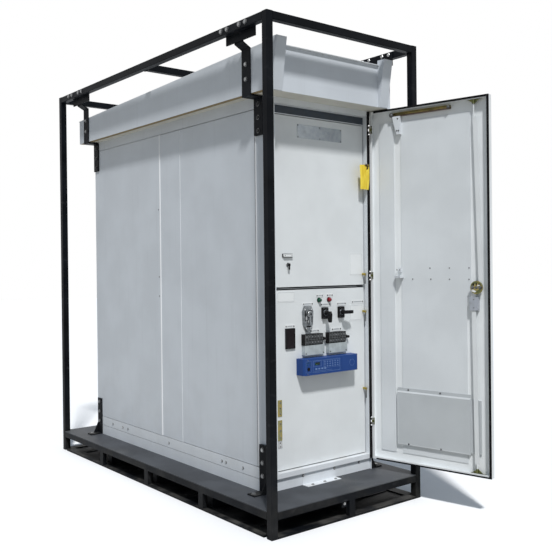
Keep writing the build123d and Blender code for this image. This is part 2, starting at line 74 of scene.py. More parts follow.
# The latch's hub, its front, and the pins that carry the two rods, in millimetres
HUB_S, HUB_Z, HUB_R, HUB_OUT = 766, 1428, 41, 1
HUB_PINS_S, PIN_OUT = (741, 791), 4

# The cage's tubes, the cubicle's outside, the skid's black sheet of painted shade and its lug, in
# millimetres
RAIL_WIDE = 48
SIDE_L, SIDE_R = -438, 480
PANEL_SPAN = (313, 2562)
ROOF_L, ROOF_R = -527, 545
ROOF_SPAN = (-1295, 1292)
SOFFIT_Z = 2638
SHADE_PAN_X, SHADE_PAN_Y = 612, 1416
LUG_FACE_Y = -1438
LUG_HOLE = (-56, 94)


def face(origin, across, up):
    """A flat face: its own x runs across it, y up it and z out of it, in millimetres."""
    across, up = Vector(across), Vector(up)
    turn = Matrix((across, up, across.cross(up))).transposed().to_4x4()
    return Matrix.Translation(origin) @ turn @ Matrix.Scale(MM, 4)


WORLD = Matrix.Scale(MM, 4)
INNER = face((0, FACE, 0), (1, 0, 0), (0, 0, 1))
SHUT_DOOR = face((HINGE.x, DOOR_Y, 0), (-1, 0, 0), (0, 0, 1))
SWING = Matrix.Rotation(DOOR_OPEN, 4, "Z")
OPENED = Matrix.Translation(HINGE) @ SWING @ Matrix.Translation(-HINGE)
DOOR = OPENED @ SHUT_DOOR
DOOR_OUTSIDE = OPENED @ face((HINGE.x, DOOR_Y - DOOR_T, 0), (1, 0, 0), (0, 0, 1))


class Value:
    """A number that varies over a surface. Python's operators add Math nodes."""

    def __init__(self, finish, socket):
        self.finish = finish
        self.socket = socket

    def maths(self, operation, *values):
        return self.finish.node("Math", {"operation": operation}, dict(enumerate(values)))

    def __add__(self, other):
        return self.maths("ADD", self, other)

    def __radd__(self, other):
        return self.maths("ADD", other, self)

    def __sub__(self, other):
        return self.maths("SUBTRACT", self, other)

    def __rsub__(self, other):
        return self.maths("SUBTRACT", other, self)

    def __mul__(self, other):
        return self.maths("MULTIPLY", self, other)

    def __rmul__(self, other):
        return self.maths("MULTIPLY", other, self)

    def __truediv__(self, other):
        return self.maths("DIVIDE", self, other)

    def above(self, low, high):
        """0 below low, 1 above high, smooth between."""
        ramp = {"interpolation_type": "SMOOTHSTEP"}
        return self.finish.node("MapRange", ramp, {0: self, 1: low, 2: high})

    def wave(self):
        return self.maths("SINE", self)


class Finish:
    """A material for one of the real finishes, built from shader nodes."""

    def __init__(self, name, colour, metallic=0.0, roughness=0.5, **fixed):
        self.material = bpy.data.materials.new(name)
        self.material.use_nodes = True
        self.tree = self.material.node_tree
        self.shader = self.tree.nodes["Principled BSDF"]
        self.set("Metallic", metallic)
        self.set("Roughness", roughness)
        self.set("Base Color", colour)
        for socket, value in fixed.items():
            self.set(socket.replace("_", " "), value)
        self.place = self.node("TexCoord", {}, {}, "Object")
        self.facing = self.node("NewGeometry", {}, {}, "Normal")

    def node(self, kind, settings, sockets, out=0):
        """A shader node: its kind, its settings, what its sockets hold, and the output it gives."""
        made = self.tree.nodes.new("ShaderNode" + kind)
        for key, value in settings.items():
            setattr(made, key, value)
        for key, value in sockets.items():
            if value is not None:
                self.feed(made.inputs[key], value)
        return Value(self, made.outputs[out])

    def feed(self, socket, value):
        if isinstance(value, Value):
            self.tree.links.new(value.socket, socket)
        elif socket.type == "RGBA" and len(value) == 3:
            socket.default_value = (*value, 1.0)
        else:
            socket.default_value = value

    def set(self, socket, value):
        self.feed(self.shader.inputs[socket], value)

    def stretched(self, x, y, z):
        return self.node("VectorMath", {"operation": "MULTIPLY"}, {0: self.place, 1: (x, y, z)})

    def noise(self, scale, detail=3.0, vector=None):
        sockets = {"Vector": vector or self.place, "Scale": scale, "Detail": detail}
        return self.node("TexNoise", {}, sockets)

    def cells(self, scale, vector=None):
        return self.node("TexVoronoi", {}, {"Vector": vector or self.place, "Scale": scale})

    def axis(self, vector, name):
        return self.node("SeparateXYZ", {}, {0: vector}, name)

    def mix(self, factor, first, second):
        sockets = {0: factor, 6: first, 7: second}
        return self.node("Mix", {"data_type": "RGBA"}, sockets, 2)

    def bump(self, height, strength, depth, after=None):
        sockets = {"Strength": strength, "Distance": depth, "Height": height, "Normal": after}
        return self.node("Bump", {}, sockets)


def scaled(colour, factor):
    """A colour made lighter or darker."""
    return tuple(min(1.0, part * factor) for part in colour)


def painted(name, colour, roughness, dust=(0.36, 0.33, 0.28), dusty=0.25, shine=0.3):
    """Sprayed paint: soft mottling, faint rain streaks, dust where it can lie, orange peel."""
    paint = Finish(name, colour, Specular_IOR_Level=shine)
    mottle = paint.noise(3.2, 4.0)
    streaks = paint.noise(1.0, 5.0, paint.stretched(34, 34, 1.3))
    tone = paint.mix(mottle.above(0.3, 0.7), scaled(colour, 0.955), scaled(colour, 1.035))
    grime = streaks.above(0.56, 0.76) * 0.22 * dusty / 0.25
    tone = paint.mix(grime, tone, scaled(colour, 0.80))
    height = paint.axis(paint.place, "Z")
    low = (1.0 - height.above(0.15, 0.9)) * 0.35
    flat = paint.axis(paint.facing, "Z").above(0.3, 0.9)
    settled = (flat + low) * paint.noise(7.0, 6.0).above(0.36, 0.68) * dusty
    tone = paint.mix(settled, tone, dust)
    specks = (1.0 - paint.cells(95.0).above(0.03, 0.09)) * paint.noise(2.0).above(0.48, 0.7)
    tone = paint.mix(specks * 0.3, tone, scaled(colour, 0.62))
    paint.set("Base Color", tone)
    paint.set("Roughness", roughness + settled * 0.35 + mottle * 0.07)
    waves = paint.bump(paint.noise(2.2, 1.0), 0.12, 0.004)
    paint.set("Normal", paint.bump(paint.noise(420.0, 2.0), 0.35, 0.00006, waves))
    return paint.material


def black_tube(name, colour, roughness):
    """Black paint on welded tube, with grey scuffs and dust on its upper faces."""
    paint = Finish(name, colour, Specular_IOR_Level=0.05)
    mottle = paint.noise(5.0, 5.0)
    tone = paint.mix(mottle.above(0.3, 0.72), scaled(colour, 0.72), scaled(colour, 1.5))
    rubbed = paint.noise(9.0, 8.0, paint.stretched(1, 1, 2.6)).above(0.61, 0.74)
    tone = paint.mix(rubbed * 0.3, tone, (0.045, 0.046, 0.050))
    flat = paint.axis(paint.facing, "Z").above(0.4, 0.95)
    low = 1.0 - paint.axis(paint.place, "Z").above(0.02, 0.55)
    settled = (flat * 0.35 + low * 0.15) * paint.noise(6.0, 7.0).above(0.38, 0.7)
    tone = paint.mix(settled, tone, (0.12, 0.115, 0.105))
    chips = (1.0 - paint.cells(60.0).above(0.04, 0.10)) * paint.noise(3.0).above(0.56, 0.7)
    tone = paint.mix(chips * 0.5, tone, (0.19, 0.135, 0.09))
    paint.set("Base Color", tone)
    paint.set("Roughness", roughness + settled * 0.4 + rubbed * 0.12)
    rolled = paint.bump(paint.noise(1.6, 2.0, paint.stretched(5, 5, 1)), 0.15, 0.002)
    paint.set("Normal", paint.bump(paint.noise(260.0, 3.0), 0.3, 0.00012, rolled))
    return paint.material


def deck_finish():
    """Charcoal deck paint, walked on: pale dust, drag marks and worn patches."""
    colour = (0.046, 0.050, 0.057)
    paint = Finish("deck_paint", colour, Specular_IOR_Level=0.18)
    mottle = paint.noise(4.0, 8.0)
    tone = paint.mix(mottle.above(0.34, 0.68), scaled(colour, 0.8), scaled(colour, 1.25))
    dust = paint.noise(2.3, 10.0, paint.stretched(1.0, 0.7, 1.0)).above(0.5, 0.74)
    tone = paint.mix(dust * 0.40, tone, (0.19, 0.19, 0.18))
    drag = paint.noise(1.0, 3.0, paint.stretched(9, 95, 9)).above(0.66, 0.76)
    tone = paint.mix(drag * dust * 0.7, tone, (0.34, 0.34, 0.33))
    spots = (1.0 - paint.cells(30.0).above(0.05, 0.16)) * paint.noise(1.7).above(0.5, 0.66)
    tone = paint.mix(spots * 0.5, tone, (0.30, 0.285, 0.25))
    paint.set("Base Color", tone)
    paint.set("Roughness", 0.46 + dust * 0.34 + mottle * 0.1)
    grit = paint.noise(180.0, 5.0)
    waves = paint.bump(paint.noise(1.4, 2.0), 0.3, 0.004)
    paint.set("Normal", paint.bump(grit, 0.5, 0.00035, waves))
    return paint.material


def plated(
    name, colour, other, roughness=0.34, spread=0.5, bands=(), band=None, painted_band=False
):
    """Zinc plating: cloudy colour, drawing lines and dull patches.

    What lies between the heights in bands has the band's own colour, as plate or as paint.
    """
    metal = Finish(name, colour, metallic=0.9)
    cloud = metal.noise(46.0, 5.0)
    tone = metal.mix(cloud.above(0.36, 0.66), colour, other)
    height = metal.axis(metal.place, "Z")
    inside = 0.0
    for low, high in bands:
        inside = height.above(low - 0.001, low) - height.above(high, high + 0.001) + inside
    if bands:
        tone = metal.mix(inside, tone, band)
    dull = metal.noise(14.0, 6.0).above(0.5, 0.72)
    tone = metal.mix(dull * spread * 0.5, tone, scaled(colour, 0.55))
    metal.set("Base Color", tone)
    metal.set("Roughness", roughness + dull * 0.25 + cloud * 0.08)
    bare = 0.92 - dull * 0.35
    metal.set("Metallic", bare * (1.0 - inside) if painted_band else bare)
    drawn = metal.noise(1.0, 2.0, metal.stretched(900, 900, 60))
    metal.set("Normal", metal.bump(drawn, 0.16, 0.00008))
    return metal.material


def rubber_finish():
    """A ribbed black weather seal with a grey bloom."""
    seal = Finish("weather_seal", (0.007, 0.007, 0.008), Specular_IOR_Level=0.04)
    bloom = seal.noise(17.0, 6.0).above(0.42, 0.75)
    seal.set("Base Color", seal.mix(bloom * 0.5, (0.006, 0.006, 0.007), (0.026, 0.026, 0.025)))
    seal.set("Roughness", 0.62 + bloom * 0.22)
    ribs = (seal.axis(seal.place, "Z") * 2200.0).wave()
    seal.set("Normal", seal.bump(ribs * 0.3 + seal.noise(500.0), 0.25, 0.0001))
    return seal.material


def moulded(name, colour, roughness=0.42, grain=700.0, dusty=0.1, shine=0.09):
    """Moulded plastic with a fine spark grain, scuffed and a little dusty."""
    plastic = Finish(name, colour, Specular_IOR_Level=shine)
    cloud = plastic.noise(24.0, 5.0)
    tone = plastic.mix(cloud.above(0.35, 0.7), scaled(colour, 0.88), scaled(colour, 1.14))
    flat = plastic.axis(plastic.facing, "Z").above(0.2, 0.9)
    dust = (flat + 0.25) * plastic.noise(60.0, 6.0).above(0.4, 0.72) * dusty
    plastic.set("Base Color", plastic.mix(dust, tone, (0.42, 0.40, 0.37)))
    plastic.set("Roughness", roughness + dust * 0.4 + cloud * 0.08)
    plastic.set("Normal", plastic.bump(plastic.noise(grain, 2.0), 0.3, 0.00006))
    return plastic.material


def lens(name, colour):
    """A ribbed indicator lens that catches the light inside its edge."""
    glass = Finish(name, colour, Coat_Weight=0.2, Coat_Roughness=0.08, Specular_IOR_Level=0.25)
    depth = glass.noise(90.0, 3.0)
    tone = glass.mix(depth.above(0.3, 0.7), scaled(colour, 0.7), scaled(colour, 1.5))
    glass.set("Base Color", tone)
    glass.set("Roughness", 0.16 + depth * 0.1)
    ribs = (glass.axis(glass.place, "X") * 1500.0).wave()
    glass.set("Normal", glass.bump(ribs, 0.3, 0.0003))
    return glass.material


def smoked_glass():
    """A dark window with a thin film of dirt."""
    pane = Finish("smoked_window", (0.012, 0.008, 0.009), Specular_IOR_Level=0.07)
    film = pane.noise(20.0, 4.0)
    tone = pane.mix(film.above(0.3, 0.8), (0.010, 0.007, 0.008), (0.022, 0.016, 0.018))
    pane.set("Base Color", tone)
    pane.set("Roughness", 0.09 + film * 0.12)
    pane.set("Normal", pane.bump(pane.noise(8.0, 1.0), 0.08, 0.001))
    return pane.material


def tag_finish():
    """A yellow card tag: soft mottling, rubbed edges, faint vertical creases."""
    card = Finish("tag_yellow", (0.80, 0.60, 0.05), Specular_IOR_Level=0.25)
    fibre = card.noise(60.0, 5.0, card.stretched(1, 1, 0.25))
    tone = card.mix(fibre.above(0.3, 0.7), (0.70, 0.50, 0.035), (0.86, 0.68, 0.08))
    rubbed = card.noise(30.0, 6.0).above(0.62, 0.78)
    card.set("Base Color", card.mix(rubbed * 0.4, tone, (0.85, 0.77, 0.42)))
    card.set("Roughness", 0.5 + fibre * 0.15)
    creases = card.noise(1.0, 3.0, card.stretched(60, 60, 4))
    card.set("Normal", card.bump(creases, 0.3, 0.0008))
    return card.material


def display_finish():
    """A small dark display with a faint green glow in its middle."""
    glass = Finish("display", (0.010, 0.014, 0.012), Specular_IOR_Level=0.3)
    columns = (glass.axis(glass.place, "X") * 900.0).wave()
    cells = columns * (glass.axis(glass.place, "Z") * 900.0).wave()
    lit = glass.noise(70.0, 2.0).above(0.42, 0.62)
    glass.set("Base Color", glass.mix(lit, (0.008, 0.012, 0.011), (0.03, 0.16, 0.035)))
    glass.set("Roughness", 0.22 + lit * 0.12)
    glass.set("Normal", glass.bump(cells, 0.25, 0.0002))
    return glass.material


# One finish for each of the record's slots
FINISHES = {
    "black_paint": black_tube("black_paint", (0.0052, 0.0062, 0.0080), 0.42),
    "deck_paint": deck_finish(),
    "white_paint": painted("white_paint", (0.655, 0.685, 0.715), 0.40),
    "inner_paint": painted("inner_paint", (0.690, 0.715, 0.725), 0.38, dusty=0.10),
    "galvanised": plated("galvanised", (0.36, 0.365, 0.37), (0.50, 0.505, 0.50)),
    "yellow_zinc": plated("yellow_zinc", (0.34, 0.265, 0.090), (0.24, 0.235, 0.115), 0.36, 0.35),
    "header_grey": painted("header_grey", (0.050, 0.060, 0.074), 0.4, dusty=0.05, shine=0.15),
    "rubber": rubber_finish(),
    "black_plastic": moulded("black_plastic", (0.0085, 0.0085, 0.0095), 0.36),
    "clear_plastic": moulded("clear_plastic", (0.40, 0.44, 0.45), 0.2, 200.0, 0.1, 0.4),
    "grey_plastic": plated("cast_grey", (0.20, 0.215, 0.225), (0.32, 0.335, 0.345), 0.34, 0.7),
    "relay_blue": painted("relay_blue", (0.017, 0.054, 0.205), 0.4, dusty=0.05, shine=0.16),
    "green_lens": lens("green_lens", (0.004, 0.058, 0.030)),
    "red_lens": lens("red_lens", (0.17, 0.004, 0.008)),
    "dark_window": smoked_glass(),
    "plate_grey": plated("plate_grey", (0.29, 0.32, 0.35), (0.35, 0.38, 0.40), 0.42, 0.25),
}

# More finishes, for single pieces
EXTRA = {
    # Paler than the walls: a painted highlight on the seam folds
    "fold_painted_highlight": painted("fold_painted_highlight", (0.80, 0.82, 0.84), 0.36, dusty=0.05),
    "bare_label": painted("bare_label", (0.74, 0.76, 0.765), 0.3, dusty=0.06, shine=0.4),
    "label_edge": painted("label_edge", (0.40, 0.42, 0.44), 0.35, dusty=0.05),
    "dark_screw": plated("dark_screw", (0.10, 0.102, 0.105), (0.17, 0.172, 0.175), 0.42, 0.4),
    "pale_print": painted("pale_print", (0.135, 0.22, 0.42), 0.4, dusty=0.04, shine=0.15),
    "brown_cord": moulded("brown_cord", (0.085, 0.055, 0.018), 0.6, 300.0),
    "tag_yellow": tag_finish(),
    "display": display_finish(),
    "dull_stud": plated("dull_stud", (0.13, 0.135, 0.14), (0.21, 0.215, 0.22), 0.42),
    "block_shell": moulded("block_shell", (0.055, 0.059, 0.062), 0.45),
    "block_rib": moulded("block_rib", (0.150, 0.158, 0.162), 0.45),
    # A bright bare metal, used as a painted highlight on the interlock and latch hub
    "painted_highlight_metal": plated("painted_highlight_metal", (0.62, 0.63, 0.63), (0.74, 0.75, 0.75), 0.30, 0.3),
    # A tan strip under the eaves: painted bounce light from the ground
    "eave_painted_bounce": moulded("eave_painted_bounce", (0.30, 0.235, 0.135), 0.6, 200.0),
}

DULL_ZINC = ((0.22, 0.225, 0.23), (0.33, 0.335, 0.335))
# Yellow zinc darkened to olive: partly its own tone, partly painted shade
OLIVE_ZINC_AND_SHADE = ((0.150, 0.142, 0.050), (0.105, 0.120, 0.055))
GOLD = (0.42, 0.33, 0.09)
BROWN = (0.10, 0.06, 0.045)
# A pale blue-grey for the strap over the lower rod: painted shade
STRAP_PAINTED_SHADE = (0.36, 0.385, 0.43)
NEAR_BLACK = (0.02, 0.021, 0.022)
# Darker, bluer white paint for the roof's fascias and end caps: painted shade
ROOF_TRIM_PAINTED_SHADE = painted("roof_trim_painted_shade", (0.575, 0.610, 0.650), 0.40)

# Heights, in metres, between which a plated node has another colour
THUMB_BOSSES_Z = ((0.711, 0.733), (1.245, 1.267))
UPPER_BOSS_Z = ((1.502, 1.524),)
ROD_STRAP_Z = ((1.27, 1.375),)
# Heights between which the stay channel is a darker brown
STAY_BROWN_BAND_Z = ((2.578, 2.590),)
LOW_BRACKET_BOLTS_Z = ((2.38, 2.60),)

# CAD nodes whose finish isn't quite their slot's; some of these colours are painted light or shade,
# as noted
OWN_FINISH = {
    # The side walls' white paint is darker than the front's: painted shade for the sides
    "wall_panels": painted("side_painted_shade", (0.570, 0.605, 0.645), 0.40),
    # The front corner strips, darker and bluer still: painted shade, the cage post's shadow on them
    "corner_strips": painted("strip_painted_shade", (0.520, 0.560, 0.610), 0.40),
    # The outer door's leaf, brighter than its inner sheets: painted light, the leaf lit more than
    # the sheets
    "outer_door_leaf": painted("leaf_painted_light", (0.790, 0.815, 0.825), 0.38, dusty=0.08),
    "door_inner_sheets": painted("sheet_paint", (0.665, 0.695, 0.715), 0.40, dusty=0.10),
    "door_cover": painted("cover_grey", (0.485, 0.512, 0.528), 0.42, dusty=0.10),
    # The fascias and end caps carry painted shade
    "roof_fascias": ROOF_TRIM_PAINTED_SHADE,
    "roof_end_caps": ROOF_TRIM_PAINTED_SHADE,
    "ground_lug": FINISHES["black_paint"],
    # The soffit's warm tint is painted light, bounced up from the ground
    "soffit": painted("soffit_painted_bounce", (0.62, 0.61, 0.55), 0.40),
    "bracket_bolts": plated("bolt_zinc", *DULL_ZINC, bands=LOW_BRACKET_BOLTS_Z, band=NEAR_BLACK),
    # The latch guides' strap over the lower rod is painted shade
    "latch_guides": plated(
        "guide_zinc_and_painted_shade", *OLIVE_ZINC_AND_SHADE, bands=ROD_STRAP_Z, band=STRAP_PAINTED_SHADE, painted_band=True
    ),
    # The latch hub's olive zinc is partly painted shade
    "latch_hub": plated("hub_zinc_and_shade", *OLIVE_ZINC_AND_SHADE),
    "stay_channel": plated(
        "stay_zinc", (0.30, 0.235, 0.085), (0.22, 0.20, 0.09), bands=STAY_BROWN_BAND_Z, band=BROWN
    ),
    "lower_thumbscrews": plated("thumb_latch_zinc", *DULL_ZINC, bands=THUMB_BOSSES_Z, band=GOLD),
    "upper_door_fittings": plated("upper_fittings_zinc", *DULL_ZINC, bands=UPPER_BOSS_Z, band=GOLD),
    "outer_hinges_door": plated("hinge_zinc", *OLIVE_ZINC_AND_SHADE),
    "outer_hinges_frame": plated("hinge_pin_zinc", (0.30, 0.30, 0.29), (0.16, 0.15, 0.12)),
}


def dress_cad():
    """Gives every CAD node its own finish, or else its slot's."""
    slots = {part["node"]: part["material_slot"] for part in frame["record"]["subparts"]}
    for name, piece in nodes.items():
        finish = OWN_FINISH.get(name) or FINISHES[slots[name]]
        piece.data.materials.clear()
        piece.data.materials.append(finish)


class Part:
    """One piece, gathered from small solids that are drawn in millimetres on a face."""

    def __init__(self, name, body, slot, at, finish=None):
        self.name, self.body, self.slot, self.at = name, body, slot, at
        self.finish = EXTRA[finish] if finish else FINISHES[slot]
        self.mesh = bmesh.new()

    def loop(self, points):
        return [self.mesh.verts.new(self.at @ Vector(point)) for point in points]

    def skin(self, loops, closed=True):
        """Joins loops of the same count into a closed or open-ended skin."""
        for first, second in zip(loops, loops[1:]):
            for i in range(len(first)):
                j = (i + 1) % len(first)
                self.mesh.faces.new((first[i], first[j], second[j], second[i]))
        if closed:
            self.mesh.faces.new(list(reversed(loops[0])))
            self.mesh.faces.new(loops[-1])

    def prism(self, outline, low, high, taper=0.0):
        """An outline of (x, y) points raised from low to high, its top edge chamfered."""
        count = len(outline)
        cx = sum(x for x, y in outline) / count
        cy = sum(y for x, y in outline) / count
        levels = [(low, 0.0), (high, 0.0)]
        if taper:
            levels = [(low, 0.0), (high - taper, 0.0), (high, taper)]
        loops = []
        for z, inset in levels:
            ring = []
            for x, y in outline:
                away = math.hypot(x - cx, y - cy)
                shrink = 1 - inset / away
                ring.append((cx + (x - cx) * shrink, cy + (y - cy) * shrink, z))
            loops.append(self.loop(ring))
        self.skin(loops)

    def block(self, x0, x1, y0, y1, low, high, taper=0.0):
        self.prism([(x0, y0), (x1, y0), (x1, y1), (x0, y1)], low, high, taper)

    def plate(self, x0, x1, y0, y1, r, low, high, taper=0.3):
        """A plate with rounded corners."""
        upper = ((x1 - r, y1 - r, 0), (x0 + r, y1 - r, 90))
        corners = upper + ((x0 + r, y0 + r, 180), (x1 - r, y0 + r, 270))
        outline = []
        for cx, cy, start in corners:
            for step in range(5):
                angle = math.radians(start + step * 22.5)
                outline.append((cx + r * math.cos(angle), cy + r * math.sin(angle)))
        self.prism(outline, low, high, taper)

    def border(self, x0, x1, y0, y1, wide, low, high):
        """A thin raised frame round a rectangle."""
        self.block(x0, x1, y1 - wide, y1, low, high)
        self.block(x0, x1, y0, y0 + wide, low, high)
        self.block(x0, x0 + wide, y0 + wide, y1 - wide, low, high)
        self.block(x1 - wide, x1, y0 + wide, y1 - wide, low, high)

    def turned(self, x, y, profile, sides=16, capped=True):
        """A round turned from (radius, height) points, on an axis out of the face."""
        loops = []
        for r, z in profile:
            ring = []
            for step in range(sides):
                angle = math.tau * step / sides
                ring.append((x + r * math.cos(angle), y + r * math.sin(angle), z))
            loops.append(self.loop(ring))
        self.skin(loops, capped)
        if not capped:
            self.skin([loops[-1], loops[0]], False)

    def ring(self, x, y, inner, outer, low, high, sides=24):
        """A washer or collar with its outer top edge broken."""
        outside = [(outer, low), (outer, high - 0.4), (outer - 0.4, high)]
        self.turned(x, y, [(inner, low), *outside, (inner, high)], sides, False)

    def screw(self, x, y, r, base):
        """A pan head with a socket in it."""
        top = base + r * 0.55
        head = [(r, base), (r, base + r * 0.25), (r * 0.72, top)]
        socket = [(r * 0.36, top), (r * 0.30, top - r * 0.4)]
        self.turned(x, y, head + socket, 12)

    def rivet(self, x, y, r, base):
        """A low domed head."""
        dome = ((1, 0), (0.92, 0.25), (0.6, 0.5), (0.2, 0.6))
        self.turned(x, y, [(r * across, base + r * up) for across, up in dome], 12)

    def tube(self, path, r, sides=8, ripple=0.0):
        """A bent rod along a path of points, its thickness rippled where it is a weld."""
        loops = []
        for index, point in enumerate(path):
            before = Vector(path[max(index - 1, 0)])
            after = Vector(path[min(index + 1, len(path) - 1)])
            along = (after - before).normalized()
            side = along.cross(Vector((0.31, 0.17, 0.93))).normalized()
            other = along.cross(side)
            ring = []
            swell = r * (1 + (ripple if index % 2 else -ripple))
            for step in range(sides):
                angle = math.tau * step / sides
                spoke = side * math.cos(angle) + other * math.sin(angle)
                ring.append(Vector(point) + spoke * swell)
            loops.append(self.loop(ring))
        self.skin(loops)

    def done(self):
        """Ends the piece: it gets its finish and the body that it rides on."""
        bmesh.ops.recalc_face_normals(self.mesh, faces=self.mesh.faces)
        data = bpy.data.meshes.new(self.name)
        self.mesh.to_mesh(data)
        self.mesh.free()
        data.polygons.foreach_set("use_smooth", [True] * len(data.polygons))
        data.set_sharp_from_angle(angle=math.radians(38))
        data.materials.append(self.finish)
        piece = bpy.data.objects.new(self.name, data)
        bpy.context.scene.collection.objects.link(piece)
        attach(piece, self.body)
        return piece


def fix_screws(name, body, slot, at, places, r, finish=None):
    """A set of like screws at (x, y, base) places."""
    screws = Part(name, body, slot, at, finish)
    for x, y, base in places:
        screws.screw(x, y, r, base)
    screws.done()


def outer_door_details():
    """Screws in the outer door's sheets, cover and brackets, and the stay's bolts."""
    clip_screws = [(s, 1541, -20) for s in (188, 209)]
    sheet = [(s, 1552, -29) for s in (430, 569, 704)] + clip_screws
    sheet += [(s, 1479, -29) for s in (302, 436, 569, 703)]
    fix_screws("door_screws", "outer_door", "galvanised", DOOR, sheet, 4.6, "dull_stud")
    cover = [(263, 731, -26), (497, 731, -26), (268, 366, -16), (505, 366, -16)]
    fix_screws("cover_screws", "outer_door", "galvanised", DOOR, cover, 6.5, "dark_screw")
    arm = [(212, 2562, -4), (205, 2482, -4), (219, 2481, -4)]
    fix_screws("arm_screws", "outer_door", "galvanised", DOOR, arm, 5.5, "dark_screw")

    end_s, end_z = 580, 2592
    knob_s, knob_z = 162, 2590
    bolt = Part("stay_end_bolt", "outer_door", "galvanised", DOOR, "dark_screw")
    bolt.turned(end_s, end_z, [(8, -8), (8, -1), (6, 1)], 6)
    bolt.ring(end_s, end_z, 5, 11, -8, -6)
    bolt.ring(knob_s, knob_z, 6, 15, -8, -2)
    bolt.turned(knob_s, knob_z, [(7, -8), (7, 1), (5, 3)], 6)
    bolt.done()

    edge = Part("cover_outline", "outer_door", "inner_paint", DOOR)
    edge.block(186, 705, 362, 364, -16, -15)
    edge.block(186, 188, 364, 706, -16, -15)
    edge.done()


def upper_door_details():
    """The upper door's rivets, bare label, catch, and the key in its lock."""
    rivets = Part("blank_plate_rivets", "upper_door", "galvanised", INNER, "dark_screw")
    for x in (-133, 57, 248):
        for z in (2412, 2487):
            rivets.rivet(x, z, 5, 2)
    rivets.done()

    label = Part("upper_label", "upper_door", "plate_grey", INNER, "bare_label")
    label.plate(320, 446, 1507, 1659, 4, 0, 1.2)
    label.done()
    edge = Part("upper_label_edge", "upper_door", "plate_grey", INNER, "label_edge")
    edge.border(325, 441, 1512, 1654, 1.5, 1.2, 1.5)
    edge.done()

    lock = Part("upper_lock_ring", "upper_door", "galvanised", INNER)
    lock.ring(LOCK_X, LOCK_Z, 10.5, 14, 0, 3)
    lock.done()
    catch_top = 14.6
    catch = [(-262, 1643, catch_top), (-205, 1643, catch_top)]
    fix_screws("catch_screws", "upper_door", "galvanised", INNER, catch, 3, "dark_screw")
    cover = Part("catch_face", "upper_door", "plate_grey", INNER, "bare_label")
    cover.plate(*CATCH_X, *CATCH_Z, 2, 4, catch_top, 1)
    cover.done()
    edge = Part("catch_edge", "upper_door", "black_plastic", INNER)
    edge.border(CATCH_X[0] - 4, CATCH_X[1] + 4, CATCH_Z[0] - 4, CATCH_Z[1] + 3, 3, 0, 6)
    edge.done()

    key = Part("lock_key_grip", "upper_door", "black_plastic", INNER)
    key.plate(LOCK_X - 10, LOCK_X + 10, 1574, 1593, 6, 15.2, 18, 0.5)
    key.plate(LOCK_X - 5, LOCK_X + 5, 1552, 1580, 3, 15.2, 17.5, 0.4)
    key.done()


# Bare legend plates on the lower door: x from and to, height from and to
LEGENDS = (
    (11, 72, 1366, 1389),
    (105, 162, 1366, 1389),
    (50, 136, 1304, 1331),
    (199, 282, 1304, 1331),
    (-106, -17, 1317, 1336),
    (-258, -177, 1177, 1201),
    (-45, 32, 1134, 1161),
    (148, 236, 1134, 1161),
    (338, 450, 1311, 1337),
)


def legend_plates():
    """Bare legend plates above each fitting, each held by two dark screws."""
    plates = Part("legend_plates", "lower_door", "plate_grey", INNER, "bare_label")
    strips = Part("legend_strips", "lower_door", "plate_grey", INNER, "label_edge")
    places = []
    for x0, x1, z0, z1 in LEGENDS:
        mid = (z0 + z1) / 2
        plates.plate(x0, x1, z0, z1, 3, 0, 1.5)
        strips.plate(x0 + 18, x1 - 18, mid - 4, mid + 4, 1.5, 1.5, 1.8, 0.1)
        places += [(x0 + 8, mid, 1.5), (x1 - 8, mid, 1.5)]
    plates.done()
    strips.done()
    fix_screws("legend_screws", "lower_door", "galvanised", INNER, places, 5, "dark_screw")


def lower_door_details():
    """The lower door's bare labels, lamp bezels, window frame and hinge leaf screws."""
    label = Part("lower_labels", "lower_door", "plate_grey", INNER, "bare_label")
    edge = Part("lower_label_edges", "lower_door", "plate_grey", INNER, "label_edge")
    for x0, x1, z0, z1 in ((318, 442, 1195, 1304), (-321, -174, 1344, 1412)):
        label.plate(x0, x1, z0, z1, 4, 0, 1.2)
        edge.border(x0 + 5, x1 - 5, z0 + 5, z1 - 5, 1.5, 1.2, 1.5)
    label.done()
    edge.done()

    bezels = Part("lamp_bezels", "lower_door", "black_plastic", INNER)
    rim = [(LAMP_R, 0), (16.6, 0), (16.6, 3), (15.6, 4), (LAMP_R, 4)]
    for x in LAMPS_X:
        bezels.turned(x, LAMP_Z, rim, 24, False)
    bezels.done()

    window = Part("window_frame", "lower_door", "black_plastic", INNER)
    window.border(-258, -180, 1045, 1175, 6, 0, 10)
    window.done()
    leaves = [(-305, z, 3) for z in (488, 532, 576, 638, 673, 708)]
    leaves += [(-307, z, 3) for z in (430, 454)]
    fix_screws("lower_leaf_screws", "lower_door", "yellow_zinc", INNER, leaves, 5, "dark_screw")


